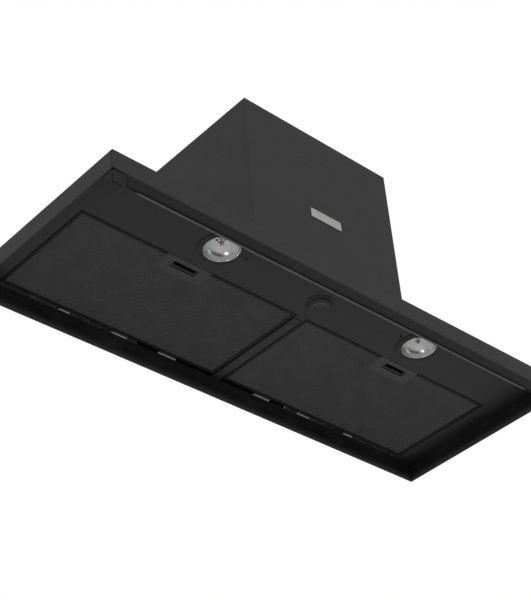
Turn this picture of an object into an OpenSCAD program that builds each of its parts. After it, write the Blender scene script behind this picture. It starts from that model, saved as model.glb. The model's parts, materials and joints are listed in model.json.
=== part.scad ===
// Built-in kitchen hood: a shallow steel canopy tray, open at the bottom, with two
// hinged grease filters, two recessed spotlights and a speed knob in its ceiling,
// and a tall motor housing on top that holds a double-inlet blower.
// Origin: centre of the tray's bottom edge. +X right, +Y to the rear, +Z up.

/* [Canopy tray] */
// Width of the tray, side to side
tray_w = 900; // [760:10:1080]
// Depth of the tray, front to rear
tray_d = 331; // [320:1:400]
// Height of the tray's skirt
tray_h = 30.5; // [26:0.5:40]
// Thickness of the painted steel sheet
sheet = 1; // [0.8:0.1:1.2]
// Height of the hem folded inside the skirt
hem_h = 11; // [8:1:14]
// How far the hem's top leans inwards
hem_lean = 3.5; // [2:0.5:5]
// Open seam between the fascia and the tray's sides
seam_gap = 0.8; // [0.3:0.1:1]
// Angle of the mitre at the front corners
mitre_angle = 53; // [45:1:55]

/* [Front lip] */
// Front face to the lip that stands behind it
lip_setback = 23.4; // [20:0.1:26]
// Side of the tray to the end of the lip
lip_end = 17; // [14:1:20]
// Length of a corner plate along the fascia
corner_l = 25; // [20:1:34]
// Depth of the groove between the fascia and the lip
groove_d = 8; // [6:0.5:12]
// Diameter of the rolled bead on the lip's lower edge
bead_d = 3.4; // [2.4:0.2:4]
// Side of the tray to the end of the bead
bead_end = 59; // [52:1:70]

/* [Ceiling] */
// Depth of the strip that carries the lamps, lip to filters
lamp_strip_d = 97.6; // [90:0.2:110]
// Side of the tray to the filter opening
side_margin = 41; // [34:1:60]
// Rear of the tray to the filter opening
rear_margin = 8; // [7:0.5:12]
// Width of the bridge between the two filters
bar_w = 18; // [14:1:30]
// Gap all round each filter
filter_gap = 1.5; // [1:0.1:2.5]

/* [Filters] */
// Thickness of a filter cassette
filter_t = 9; // [8:0.5:11]
// Width of the cassette's rim
filter_rim = 5; // [4:0.5:8]
// Centre of the hood to the centre of a filter's handle
handle_x = 215; // [190:1:240]
// Width of the handle plate
handle_w = 82; // [70:1:100]
// Depth of the handle plate
handle_d = 35; // [32:1:40]
// Width of the finger slot
slot_w = 45; // [36:1:55]
// Depth of the finger slot
slot_d = 13; // [12:0.5:14]
// Travel of the latch
latch_travel = 4; // [3.5:0.5:4.5]
// Radius of the rolled pivot on each rear tongue
pivot_r = 1.2; // [1:0.1:1.4]

/* [Lamps and knob] */
// Centre of the hood to the centre of a lamp
lamp_x = 201.5; // [190:0.5:230]
// Front face to the centre of the lamps
lamp_setback = 70.5; // [66:0.5:78]
// Outer radius of the lamp's bezel
bezel_r = 36.5; // [34:0.5:38]
// Radius of the reflector's mouth
reflector_r = 26.5; // [24:0.5:31]
// Depth of the reflector
reflector_d = 24; // [20:1:28]
// Front face to the centre of the knob
knob_setback = 82; // [78:1:90]
// Radius of the knob's bezel
knob_bezel_r = 22.5; // [20:0.5:26]
// Radius of the knob
knob_r = 17; // [14:0.5:19]
// Radius of the knob's shaft
knob_shaft_r = 3; // [2.5:0.1:4]

/* [Motor housing] */
// Width of the housing
housing_w = 305; // [290:1:340]
// Height of the housing above the tray
housing_h = 308; // [300:1:420]
// Front face of the tray to the front of the housing
housing_setback = 49.2; // [40:0.2:54]
// Rear of the tray to the rear of the housing
housing_rear_gap = 3.5; // [3:0.5:6]
// Height of the air chamber over the filters
chamber_h = 16.5; // [15:0.5:22]
// Width of the blank badge
badge_w = 63; // [40:1:80]
// Height of the blank badge
badge_h = 17; // [12:1:24]
// Height of the badge's centre above the tray's bottom
badge_z = 171; // [140:1:220]

/* [Duct outlet] */
// Outside diameter of the duct collar
collar_d = 150; // [120:1:152]
// Height of the collar above its flange
collar_h = 42; // [36:1:60]
// Wall of the collar
collar_wall = 1.6; // [1.2:0.1:2.5]
// Radius of the damper's pin
damper_pin_r = 1.5; // [1.2:0.1:2]

/* [Blower] */
// Outer radius of the impeller
impeller_r = 72; // [60:1:76]
// Width of the impeller
impeller_w = 110; // [90:1:120]
// Number of blades
blades = 28; // [20:2:36]
// Radius of the motor shaft
shaft_r = 4; // [3:0.5:5]
// Radius of the motor
motor_r = 40; // [34:1:44]
// Wall of the scroll casing
scroll_wall = 1.5; // [1.2:0.1:2]

/* [Hidden] */
$fn = 64;

plate_inset = 0.3;              // corner plates above the tray's lower edge
notch_w = 2.4;                  // width of the notch where a corner plate's seam ends
notch_l = 15;                   // length of the notch along the plate's rear edge
plate_edge = 3.8;               // outer face of the skirt to the edge of a corner plate
plate_lap = 2.5;                // how far a corner plate reaches behind the lip's web
plate_round = 9;                // radius of a corner plate's inner corner at the side
bezel_lip = 1.1;                // reflector's mouth to the bezel's inner edge
mouth_gap = 2.2;                // reflector's mouth to the hole in the tray
knob_play = 0.4;                // radial clearance of the knob in its bezel
run_gap = 0.05;                 // radial clearance of a running fit
ease = 0.3;                     // clearance between pieces that move past each other
front_y = -tray_d / 2;
rear_y = tray_d / 2;
ceil_z = tray_h - sheet;        // underside of the tray's top plate
lip_y = front_y + lip_setback;
open_front = lip_y + lamp_strip_d;
open_rear = rear_y - rear_margin;
open_x = tray_w / 2 - side_margin;
hem_reach = 2 * sheet + hem_lean; // outer face of the skirt to the hem's inner face

// Filter cassettes, right side; the left ones are mirrored
pivot_y = open_rear - 0.9;
pivot_z = tray_h + pivot_r - 0.1;
filter_x0 = bar_w / 2 + filter_gap;
filter_x1 = open_x - filter_gap;
filter_y0 = open_front + filter_gap;
filter_y1 = open_rear - 7.5;
filter_top = ceil_z + filter_t;
mesh_z = ceil_z + 0.8;
mesh_top = filter_top - 2.5;
tongue_t = 0.8;
tongue_x = [97.3, 189.5, 291];  // centres of the three tongues
tongue_w = [34, 28, 20];
plate_z = ceil_z + 0.8;         // underside of the handle plate
plate_t = 1;
latch_z = plate_z + plate_t + ease;
latch_t = 1.5;
slot_y = filter_y0 + 16;        // centre of the finger slot
latch_w = slot_w + 4;
latch_nose_w = 24;
latch_pad = 5;                  // part of the slot that the bolt's finger pad fills
latch_spare = 2.8;              // gap between a drawn bolt and the tray's top plate
spring_r = 1.6;
spring_wire_r = 0.25;

// Lamps and knob
lamp_y = front_y + lamp_setback;
knob_y = front_y + knob_setback;
bezel_t = 1.7;
bowl_t = 0.8;                   // wall of a reflector
can_r = bezel_r - 1.5;
can_top = tray_h + reflector_d + 8;

// Housing
house_front = front_y + housing_setback;
house_rear = rear_y - housing_rear_gap;
house_top = tray_h + housing_h;
house_x = housing_w / 2;
chamber_top = tray_h + chamber_h;
chamber_front = open_front - 6;
chamber_rear = open_rear + 2.5;
flange_w = 12;

// Duct collar
collar_r = collar_d / 2;
collar_y = (house_front + house_rear) / 2;
collar_flange_t = 1.5;
collar_flange_r = collar_r + 13;
collar_screw_r = collar_r + 7;
collar_z = house_top + collar_flange_t;
damper_z = collar_z + 14;
flap_t = 1;
flap_r = collar_r - collar_wall - 1.5;
knuckle_r = damper_pin_r + 1.2;
screw_r = 1.7;
screw_head_r = 3.6;
lead_r = 2.4;
lead_hole_r = 4;

// Blower, on an axis along X
fan_y = collar_y - 3;
fan_z = tray_h + 120;
scroll_r = impeller_r + 24;     // inside of the scroll
scroll_y = fan_y + 10;
scroll_x = impeller_w / 2 + 5;  // inside half width
scroll_top = house_top - 38;
inlet_r = impeller_r - 8;
arm_r = inlet_r + 16;
arm_hole_r = arm_r - 6;          // circle of the screws in the motor bracket's arms

// Shapes used by several pieces ------------------------------------------------

// Children drawn for the right side, mirrored for the left
module on_side(side) {
    if (side < 0) mirror([1, 0, 0]) children();
    else children();
}

// A box from its lowest to its highest corner
module span(a, b) translate(a) cube(b - a);

// A cylinder along X, from x0 to x1
module rod_x(x0, x1, r) translate([x0, 0, 0]) rotate([0, 90, 0]) cylinder(r = r, h = x1 - x0);

// A ring standing on z = 0
module ring(r_out, r_in, h) difference() {
    cylinder(r = r_out, h = h);
    translate([0, 0, -1]) cylinder(r = r_in, h = h + 2);
}

// A pan-head screw with its head on z = 0, above a shank
module screw(head_r, shank) {
    difference() {
        cylinder(r = head_r, h = 1.6);
        translate([-head_r * 0.6, -0.35, 0.9]) cube([head_r * 1.2, 0.7, 2]);
        translate([-0.35, -head_r * 0.6, 0.9]) cube([0.7, head_r * 1.2, 2]);
    }
    translate([0, 0, -shank]) cylinder(r = screw_r, h = shank);
}

// A tube swept through a list of points, lying in upright rings
module sweep(path, r, sides = 8) {
    n = len(path);
    dir = [for (i = [0 : n - 1])
        let (d = path[min(i + 1, n - 1)] - path[max(i - 1, 0)]) d / norm(d)];
    pts = [for (i = [0 : n - 1])
        let (d = dir[i], ref = abs(d[2]) > 0.9 ? [1, 0, 0] : [0, 0, 1],
             u = cross(d, ref) / norm(cross(d, ref)), v = cross(d, u))
        for (k = [0 : sides - 1])
            path[i] + r * (cos(360 * k / sides) * u + sin(360 * k / sides) * v)];
    walls = [for (i = [0 : n - 2], k = [0 : sides - 1])
        let (a = i * sides + k, b = i * sides + (k + 1) % sides)
        [a, b, b + sides, a + sides]];
    polyhedron(pts, concat(walls, [[for (k = [sides - 1 : -1 : 0]) k]],
        [[for (k = [0 : sides - 1]) (n - 1) * sides + k]]));
}

// Canopy -------------------------------------------------------------------------

// Section of a skirt wall whose outer face is at 0 and which grows to -X
// with a hem whose inner face rolls over from the lower edge
module skirt_section() {
    translate([-sheet, 0]) square([sheet, tray_h]);
    polygon(concat([[-sheet, 0], [-sheet, sheet * 1.3], [-sheet - hem_lean, hem_h]],
        [for (a = [0 : 15 : 90])
            [-sheet - (hem_lean + sheet) * cos(a), hem_h * (1 - sin(a))]]));
}

// A length of skirt along Y, its outer face at x = 0
module skirt_y(y0, y1) translate([0, y1, 0]) rotate([90, 0, 0])
    linear_extrude(y1 - y0) skirt_section();

// A length of skirt along X, its outer face at y = 0, facing +Y
module skirt_x(x0, x1) rotate([0, 0, 90]) mirror([0, 1, 0]) skirt_y(x0, x1);

module canopy_pan() color("#2b2b2b") difference() {
    side_y0 = front_y + sheet + seam_gap;
    union() {
        span([-tray_w / 2, front_y + sheet + seam_gap, ceil_z], [tray_w / 2, rear_y, tray_h]);
        for (s = [-1, 1]) on_side(s) translate([tray_w / 2, 0, 0]) skirt_y(side_y0, rear_y);
        translate([0, rear_y, 0]) skirt_x(-tray_w / 2, tray_w / 2);
    }
    for (s = [-1, 1]) on_side(s) {
        span([bar_w / 2, open_front, 0], [open_x, open_rear, tray_h + 1]);
        translate([lamp_x, lamp_y, ceil_z - 1]) cylinder(r = reflector_r + mouth_gap, h = sheet + 2);
    }
    translate([0, knob_y, ceil_z - 1]) cylinder(r = knob_shaft_r + 1.5, h = sheet + 2);
    housing_screw_places() translate([0, 0, -5]) cylinder(r = screw_r, h = 10);
}

module front_fascia() color("#303030") {
    difference() {
        translate([0, front_y, 0]) mirror([0, 1, 0]) skirt_x(-tray_w / 2, tray_w / 2);
        // the sides' own hems fill the corners
        for (s = [-1, 1]) on_side(s)
            span([tray_w / 2 - hem_reach - ease, front_y + sheet, -1],
                [tray_w / 2 + 1, front_y + hem_reach + sheet, hem_h + 1]);
    }
    span([-tray_w / 2 + 6, front_y, ceil_z - sheet], [tray_w / 2 - 6, front_y + flange_w, ceil_z]);
}

// A folded sheet behind the fascia: a web that shades the lamps, and the groove's sloping
// shelf, which ends just above the bead
module front_lip() color("#1e1e1e") {
    x = tray_w / 2 - lip_end;
    y0 = front_y + hem_reach + ease;
    span([-x, lip_y, bead_d / 2], [x, lip_y + sheet, ceil_z]);
    translate([-x, 0, 0]) rotate([90, 0, 90]) linear_extrude(2 * x)
        polygon([[y0, groove_d], [lip_y, bead_d + ease], [lip_y, bead_d + ease + sheet],
            [y0, groove_d + sheet]]);
}

module lip_bead() color("#6a6a6a") {
    x = tray_w / 2 - bead_end;
    translate([0, lip_y + sheet / 2, bead_d / 2]) difference() {
        rod_x(-x, x, bead_d / 2);
        span([-x - 1, -sheet / 2, 0], [x + 1, sheet / 2, bead_d]);
    }
}

// Plates that close the groove at the tray's corners, flush with its edge. Each has an open
// seam along its mitre with a backing block, a notch where the seam ends, a rounded inner
// corner at the side, and a tab up to the fascia.
module corner_plates() color("#343434") for (s = [-1, 1]) on_side(s) {
    x1 = tray_w / 2;
    depth = lip_setback - ease;
    seam_end = x1 - depth / tan(mitre_angle);
    tip = x1 - corner_l - (depth - plate_edge) / tan(mitre_angle);
    notch_x = min(seam_end + notch_w, x1 - plate_edge - plate_round - 0.1);
    translate([0, 0, plate_inset]) linear_extrude(sheet) difference() {
        polygon([[x1 - plate_edge, front_y + plate_edge], [x1 - corner_l, front_y + plate_edge],
            [tip, front_y + depth], [tip, front_y + depth + plate_lap],
            [notch_x, front_y + depth + plate_lap], [notch_x, front_y + depth],
            for (a = [0 : 15 : 60])
                [x1 - plate_edge - plate_round * (1 - sin(a)),
                    front_y + depth + plate_round * (1 - cos(a))],
            [x1 - plate_edge, front_y + depth + plate_round / 2]]);
        translate([x1, front_y]) rotate(180 - mitre_angle) translate([0, -seam_gap / 2])
            square([depth / sin(mitre_angle), seam_gap]);
        translate([seam_end - notch_l, front_y + depth - notch_w / 2]) square([notch_l, notch_w]);
    }
    span([x1 - hem_reach - 2 * notch_w, front_y + hem_reach + ease, plate_inset + sheet / 2],
        [x1 - hem_reach - ease, front_y + hem_reach + 3 * notch_w, plate_inset + 2 * sheet]);
    span([x1 - lip_end + ease, front_y + hem_reach + ease, plate_inset + sheet / 2],
        [x1 - lip_end + ease + sheet, front_y + flange_w - ease, ceil_z - sheet]);
}

module centre_bar() color("#262626")
    span([-bar_w / 2 + 1, open_front + 9, ceil_z - 1], [bar_w / 2 - 1, open_rear - 4.5, ceil_z]);

// Hooks on the rear edge of the opening, one behind each filter tongue
module rear_hooks() color("#3a3a3a") for (s = [-1, 1], i = [0 : 2]) on_side(s) {
    w = tongue_w[i] - 6;
    translate([tongue_x[i] - w / 2, pivot_y, pivot_z]) intersection() {
        difference() {
            rod_x(0, w, pivot_r + ease + 0.9);
            rod_x(-1, w + 1, pivot_r + ease);
        }
        span([-1, 0.2, tray_h - pivot_z], [w + 1, 4, 1.6]);
    }
    span([tongue_x[i] - w / 2, pivot_y + pivot_r + ease + 0.5, tray_h],
        [tongue_x[i] + w / 2, chamber_rear - sheet, tray_h + 1]);
}

// Domed rivets that hold the hooks' rail to the rear skirt
rivet_x = [164, 254];
module rear_rivets() color("#4a4a4a") for (s = [-1, 1], x = s * rivet_x)
    translate([x, rear_y - sheet, tray_h - 9]) rotate([90, 0, 0]) intersection() {
        cylinder(r = 2.2, h = 1.2);
        translate([0, 0, -1.6]) sphere(r = 2.8);
    }

// Low covers over the filters, open below and towards the housing
module air_chambers() color("#555555") for (s = [-1, 1]) on_side(s) difference() {
    span([house_x, chamber_front, tray_h], [open_x + 5, chamber_rear, chamber_top]);
    span([house_x - 1, chamber_front + sheet, tray_h - 1],
        [open_x + 5 - sheet, chamber_rear - sheet, chamber_top - sheet]);
}

// Motor housing --------------------------------------------------------------------

// Screws along the housing's bottom flange
foot_screw_x = house_x - 32.5;
module housing_screw_places() {
    for (x = [-foot_screw_x, foot_screw_x])
        translate([x, house_front - flange_w / 2, tray_h + sheet]) children();
    for (s = [-1, 1]) translate([s * (house_x + flange_w / 2), house_front + 18, tray_h + sheet])
        children();
}

gland_x = house_x - 40;
gland_y = house_front + 34;
gland_r = 4.3;
gland_thread_r = 8;

module housing_shell() color("#303030") difference() {
    union() {
        difference() {
            span([-house_x, house_front, tray_h], [house_x, house_rear - sheet, house_top - sheet]);
            span([-house_x + sheet, house_front + sheet, tray_h - 1],
                [house_x - sheet, house_rear, house_top]);
            span([-house_x - 1, chamber_front, tray_h - 1],
                [house_x + 1, chamber_rear, chamber_top]);
        }
        span([-house_x - flange_w, house_front - flange_w, tray_h],
            [house_x + flange_w, house_front, tray_h + sheet]);
        for (s = [-1, 1]) on_side(s) span([house_x, house_front - 1, tray_h],
            [house_x + flange_w, chamber_front - 1, tray_h + sheet]);
    }
    housing_screw_places() translate([0, 0, -5]) cylinder(r = screw_r, h = 10);
    for (s = [-1, 1]) on_side(s) translate([0, lead_y, lead_z]) 
        rod_x(house_x - 5, house_x + 5, lead_hole_r);
}

// Holes in the housing's rear panel for the screws that hold the hood to the wall
wall_hole_x = house_x - 32.5;
wall_hole_z = [tray_h + 90, house_top - 40];
wall_hole_r = 3.2;

module housing_rear() color("#2c2c2c") {
    difference() {
        span([-house_x, house_rear - sheet, tray_h], [house_x, house_rear, house_top - sheet]);
        for (x = [-wall_hole_x, wall_hole_x], z = wall_hole_z)
            translate([x, house_rear + 1, z]) rotate([90, 0, 0]) cylinder(r = wall_hole_r, h = sheet + 2);
    }
    for (s = [-1, 1]) on_side(s) span([house_x - 2 * sheet, house_rear - flange_w, chamber_top + 1],
        [house_x - sheet, house_rear - sheet, house_top - 4]);
}

module collar_screw_places() translate([0, collar_y, house_top + collar_flange_t])
    for (a = [45 : 90 : 315]) rotate([0, 0, a]) translate([collar_screw_r, 0, 0]) children();

module housing_top() color("#2c2c2c") difference() {
    union() {
        span([-house_x, house_front, house_top - sheet], [house_x, house_rear, house_top]);
        span([-house_x + sheet + 0.2, house_front + sheet + 0.2, house_top - flange_w],
            [house_x - 2 * sheet - 0.2, house_front + 2 * sheet + 0.2, house_top - sheet]);
    }
    translate([0, collar_y, house_top - 5]) cylinder(r = collar_r - collar_wall, h = 10);
    collar_screw_places() translate([0, 0, -5]) cylinder(r = screw_r, h = 10);
    translate([gland_x, gland_y, house_top - 5]) cylinder(r = gland_thread_r, h = 10);
}

// A blank badge with softened corners
module badge() color("silver") {
    r = 1.5;
    translate([0, house_front, badge_z]) rotate([90, 0, 0]) linear_extrude(1.2) union() {
        square([badge_w - 2 * r, badge_h], center = true);
        square([badge_w, badge_h - 2 * r], center = true);
        for (x = [-1, 1], y = [-1, 1])
            translate([x * (badge_w / 2 - r), y * (badge_h / 2 - r)]) circle(r);
    }
}

// Collar with its flange, the damper's stop ring and bosses for the damper's pin
module duct_collar() color("#202020") translate([0, collar_y, house_top]) {
    inner = collar_r - collar_wall;
    dz = damper_z - house_top;
    difference() {
        union() {
            ring(collar_flange_r, inner, collar_flange_t);
            ring(collar_r, inner, collar_h + collar_flange_t);
            translate([0, 0, dz - flap_t / 2 - ease - 1.5]) ring(inner + 0.2, flap_r - 2, 1.5);
        }
        for (a = [45 : 90 : 315]) rotate([0, 0, a]) translate([collar_screw_r, 0, -1])
            cylinder(r = screw_r, h = 5);
        translate([0, 0, dz]) rod_x(-collar_r - 1, collar_r + 1, damper_pin_r);
        // room for the flaps' knuckles under the pin
        translate([0, 0, dz]) rod_x(-inner + 0.5, inner - 0.5, knuckle_r + ease);
    }
}

module damper_pin() color("silver") translate([0, collar_y, damper_z])
    rod_x(-collar_r + 0.3, collar_r - 0.3, damper_pin_r);

// Half-round flap on the rear side of the pin; starts is the list of its knuckles
knuckle_l = 14;
module flap(starts) {
    difference() {
        union() {
            intersection() {
                cylinder(r = flap_r, h = flap_t, center = true);
                span([-flap_r, knuckle_r + 0.6, -2], [flap_r, flap_r, 2]);
            }
            for (x = starts) {
                rod_x(x, x + knuckle_l, knuckle_r);
                span([x, 0, -flap_t / 2], [x + knuckle_l, knuckle_r + 1, flap_t / 2]);
            }
        }
        rod_x(-flap_r, flap_r, damper_pin_r + run_gap);
    }
}

module damper_flap_rear() color("#8a8a8a") translate([0, collar_y, damper_z])
    flap([-flap_r + 6, 20]);

module damper_flap_front() color("#808080") translate([0, collar_y, damper_z])
    rotate([0, 0, 180]) flap([-flap_r + 6, 20]);

// Grease filters -----------------------------------------------------------------

handle_y1 = filter_y0 + handle_d;

module filter_frame() difference() {
    span([filter_x0, filter_y0, ceil_z], [filter_x1, filter_y1, filter_top]);
    span([filter_x0 + filter_rim, filter_y0 + filter_rim, 0],
        [filter_x1 - filter_rim, filter_y1 - filter_rim, filter_top + 1]);
    span([handle_x - handle_w / 2, filter_y0 - 1, 0],
        [handle_x + handle_w / 2, filter_y0 + filter_rim + 1, latch_z + latch_t + ease]);
}

module filter_mesh() difference() {
    span([filter_x0 + filter_rim, filter_y0 + filter_rim, mesh_z],
        [filter_x1 - filter_rim, filter_y1 - filter_rim, mesh_top]);
    span([handle_x - handle_w / 2, filter_y0, 0],
        [handle_x + handle_w / 2, handle_y1, filter_top + 1]);
}

// Three spring-steel tongues, each rolled to a round pivot at its rear end
module filter_tongues() for (i = [0 : 2]) translate([tongue_x[i] - tongue_w[i] / 2, 0, 0]) {
    translate([0, pivot_y, pivot_z]) rod_x(0, tongue_w[i], pivot_r);
    span([0, filter_y1, pivot_z - tongue_t / 2], [tongue_w[i], pivot_y, pivot_z + tongue_t / 2]);
}

// Dished plate with the finger slot, and upstands that close it off from the mesh
module handle_plate() {
    x0 = handle_x - handle_w / 2;
    x1 = handle_x + handle_w / 2;
    y0 = filter_y0 + 0.2;
    top = mesh_top;
    difference() {
        span([x0, y0, plate_z], [x1, handle_y1, plate_z + plate_t]);
        span([handle_x - slot_w / 2, slot_y - slot_d / 2, 0],
            [handle_x + slot_w / 2, slot_y + slot_d / 2, filter_top]);
    }
    for (x = [x0, x1 - 1])
        span([x, filter_y0 + filter_rim + 1.3, plate_z], [x + 1, handle_y1, top]);
    span([x0, handle_y1 - 1, plate_z], [x1, handle_y1, top]);
}

latch_tail_y = slot_y + slot_d / 2 + 2;

// Sliding bolt: its nose lies over the edge of the tray's top plate
module latch() {
    difference() {
        span([handle_x - latch_w / 2, slot_y - slot_d / 2 - 5, latch_z],
            [handle_x + latch_w / 2, latch_tail_y, latch_z + latch_t]);
        span([handle_x - slot_w / 2 + 3, slot_y - slot_d / 2, 0],
            [handle_x + slot_w / 2 - 3, slot_y + slot_d / 2 - latch_pad, filter_top]);
    }
    span([handle_x - latch_nose_w / 2, open_front + latch_spare - latch_travel, latch_z],
        [handle_x + latch_nose_w / 2, slot_y - slot_d / 2 - 4, latch_z + latch_t]);
}

// Compression spring between the bolt's tail and the handle plate's rear upstand
module latch_spring(side) {
    y0 = latch_tail_y;
    length = handle_y1 - 1 - y0;
    turns = 5;
    steps = 12;
    n = turns * steps;
    sweep([for (i = [0 : n]) [
        side * handle_x + spring_r * cos(360 * i / steps),
        y0 + spring_wire_r + (length - 2 * spring_wire_r) * i / n,
        latch_z + spring_r + spring_wire_r + spring_r * sin(360 * i / steps)]],
        spring_wire_r, 6);
}

module filter_frame_left() color("#262626") on_side(-1) filter_frame();
module filter_frame_right() color("#262626") filter_frame();
module filter_mesh_left() color("#3c3c3c") on_side(-1) filter_mesh();
module filter_mesh_right() color("#3c3c3c") filter_mesh();
module filter_tongues_left() color("silver") on_side(-1) filter_tongues();
module filter_tongues_right() color("silver") filter_tongues();
module handle_plate_left() color("#303030") on_side(-1) handle_plate();
module handle_plate_right() color("#303030") handle_plate();
module latch_left() color("#101010") on_side(-1) latch();
module latch_right() color("#101010") latch();
module latch_spring_left() color("silver") latch_spring(-1);
module latch_spring_right() color("silver") latch_spring(1);

// Spotlights -----------------------------------------------------------------------

module at_lamp(side) translate([side * lamp_x, lamp_y, 0]) children();

module lamp_bezel(side) color("#202020") at_lamp(side) translate([0, 0, ceil_z - bezel_t])
    ring(bezel_r, reflector_r + bezel_lip, bezel_t);

// A bowl with its mouth down and a hole for the capsule at its top
module lamp_reflector(side) color("#d8d8d8") at_lamp(side) rotate_extrude() {
    polygon(concat(
        [for (a = [0 : 9 : 72]) [reflector_r * cos(a), ceil_z - bezel_t + reflector_d * sin(a)]],
        [for (a = [72 : -9 : 0]) [(reflector_r + bowl_t) * cos(a) + 0.2,
            ceil_z - bezel_t + (reflector_d + bowl_t) * sin(a)]]));
}

capsule_r = 4.5;
capsule_z = ceil_z + reflector_d / 2; // centre of the capsule's rounded tip

module lamp_capsule(side) color("#f4ecc8") at_lamp(side) {
    translate([0, 0, capsule_z]) cylinder(r = capsule_r, h = ceil_z + reflector_d - 4 - capsule_z);
    translate([0, 0, capsule_z]) sphere(r = capsule_r);
    translate([0, 0, ceil_z + reflector_d - 5]) cylinder(r = capsule_r + 1.5, h = 5);
}

// Steel can over the reflector, with the lamp holder's boss on top
module lamp_can(side) color("#444444") at_lamp(side) translate([0, 0, tray_h]) {
    difference() {
        cylinder(r = can_r, h = can_top - tray_h);
        translate([0, 0, -1]) cylinder(r = can_r - 0.8, h = can_top - tray_h + 0.2);
    }
    translate([0, 0, reflector_d]) cylinder(r = 9, h = can_top - tray_h - reflector_d - 0.4);
}

module lamp_bezel_left() lamp_bezel(-1);
module lamp_bezel_right() lamp_bezel(1);
module lamp_reflector_left() lamp_reflector(-1);
module lamp_reflector_right() lamp_reflector(1);
module lamp_capsule_left() lamp_capsule(-1);
module lamp_capsule_right() lamp_capsule(1);
module lamp_can_left() lamp_can(-1);
module lamp_can_right() lamp_can(1);

// Speed control ------------------------------------------------------------------

knob_z0 = ceil_z - 5;
dish_r = 24;
dish_depth = 2;
switch_h = 18;
switch_half = 15;
shaft_depth = 12;                // how far the knob's shaft goes into the switch

module knob_bezel() color("#1c1c1c") translate([0, knob_y, ceil_z - 2])
    ring(knob_bezel_r, knob_r + knob_play, 2);

// Round knob below the ceiling with a finger dish and its shaft
module knob() color("#262626") translate([0, knob_y, 0]) difference() {
    union() {
        translate([0, 0, knob_z0]) cylinder(r = knob_r, h = ceil_z - knob_z0 - 0.5);
        translate([0, 0, knob_z0 + 1]) cylinder(r = knob_shaft_r, h = tray_h + shaft_depth - knob_z0);
    }
    translate([0, 0, knob_z0 + dish_depth - dish_r]) sphere(r = dish_r);
    translate([knob_r - 3, 0, knob_z0 - 1]) cylinder(r = 1.2, h = 1.8);
}

module speed_switch() color("#d9d5c8") translate([0, knob_y, tray_h]) difference() {
    span([-switch_half, -switch_half, 0], [switch_half, switch_half, switch_h]);
    translate([0, 0, -1]) cylinder(r = knob_shaft_r + run_gap, h = shaft_depth + 3);
}

// Blower -----------------------------------------------------------------------------

// Profile of the scroll in the Y-Z plane, grown by a wall
module scroll_profile(wall) {
    translate([scroll_y, fan_z]) circle(r = scroll_r + wall);
    translate([scroll_y - scroll_r - wall, fan_z])
        square([scroll_r + 2 * wall, scroll_top - fan_z]);
}

// A profile in Y-Z extruded along X
module along_x(x0, x1) translate([x0, 0, 0]) rotate([90, 0, 90]) linear_extrude(x1 - x0) children();

module scroll_casing() color("#b9bcc0") difference() {
    along_x(-scroll_x - scroll_wall, scroll_x + scroll_wall) scroll_profile(scroll_wall);
    difference() {
        along_x(-scroll_x, scroll_x) scroll_profile(0);
        span([-scroll_x, scroll_y - scroll_wall, fan_z + scroll_r - 2],
            [scroll_x, scroll_y + 0.1, scroll_top]);
    }
    translate([0, scroll_y - scroll_r / 2, scroll_top])
        cube([2 * scroll_x, scroll_r - 2 * scroll_wall, 8], center = true);
    translate([0, fan_y, fan_z]) rod_x(-scroll_x - 5, scroll_x + 5, inlet_r);
    for (a = [90 : 120 : 330]) translate([0, fan_y, fan_z]) rotate([a, 0, 0])
        translate([0, arm_hole_r, 0]) rod_x(scroll_x - 3, scroll_x + 5, screw_r);
}

// Square-to-round box between the scroll's mouth and the collar
module outlet_adapter() color("#c6c9cc") {
    wall = 1.5;
    x = collar_r + 2 * wall;
    y0 = min(scroll_y - scroll_r - scroll_wall, collar_y - x);
    y1 = collar_y + x;
    difference() {
        span([-x, y0, scroll_top], [x, y1, house_top - sheet]);
        span([-x + wall, y0 + wall, scroll_top + wall], [x - wall, y1 - wall, house_top]);
        span([-scroll_x, scroll_y - scroll_r, scroll_top - 1],
            [scroll_x, scroll_y - scroll_wall, scroll_top + 5]);
    }
}

// Drum of forward-curved blades on both sides of a centre disc
module impeller() color("#33373b") translate([0, fan_y, fan_z]) difference() {
    union() {
        rod_x(-0.8, 0.8, impeller_r - 1);
        rod_x(-8, 2, shaft_r + 6);
        for (s = [-1, 1]) on_side(s) difference() {
            rod_x(impeller_w / 2 - 2, impeller_w / 2, impeller_r);
            rod_x(impeller_w / 2 - 3, impeller_w / 2 + 1, impeller_r - 13);
        }
        for (i = [0 : blades - 1]) rotate([360 * i / blades, 0, 0])
            translate([0, impeller_r - 7, 0]) rotate([32, 0, 0])
                cube([impeller_w - 2, 11, 1], center = true);
    }
    rod_x(-10, 10, shaft_r);
}

module motor_shaft() color("silver") translate([0, fan_y, fan_z])
    rod_x(-9, scroll_x - 2, shaft_r);

module motor() color("#9a9da0") translate([0, fan_y, fan_z]) difference() {
    union() {
        rod_x(6, scroll_x - 1, motor_r);
        rod_x(3, 6.5, shaft_r + 8);
        rod_x(scroll_x - 1.5, scroll_x + 2, motor_r - 12);
    }
    rod_x(0, scroll_x - 1.5, shaft_r + run_gap);
}

// Ring and three arms that hang the motor in the right-hand inlet
module motor_bracket() color("#7d8286") translate([0, fan_y, fan_z]) {
    x0 = scroll_x + scroll_wall;
    difference() {
        union() {
            rod_x(x0, x0 + 2, motor_r + 3);
            for (a = [90 : 120 : 330]) rotate([a, 0, 0])
                span([x0, motor_r - 12, -8], [x0 + 2, arm_r, 8]);
        }
        rod_x(x0 - 1, x0 + 3, motor_r - 12);
        for (a = [90 : 120 : 330]) rotate([a, 0, 0]) translate([0, arm_hole_r, 0])
            rod_x(x0 - 1, x0 + 3, screw_r);
    }
}

bush_y = [scroll_y - 60, scroll_y + 60];
bush_z = fan_z + 12;
bush_l = 7;
bush_r = 6;
hanger_t = 2;

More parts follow.
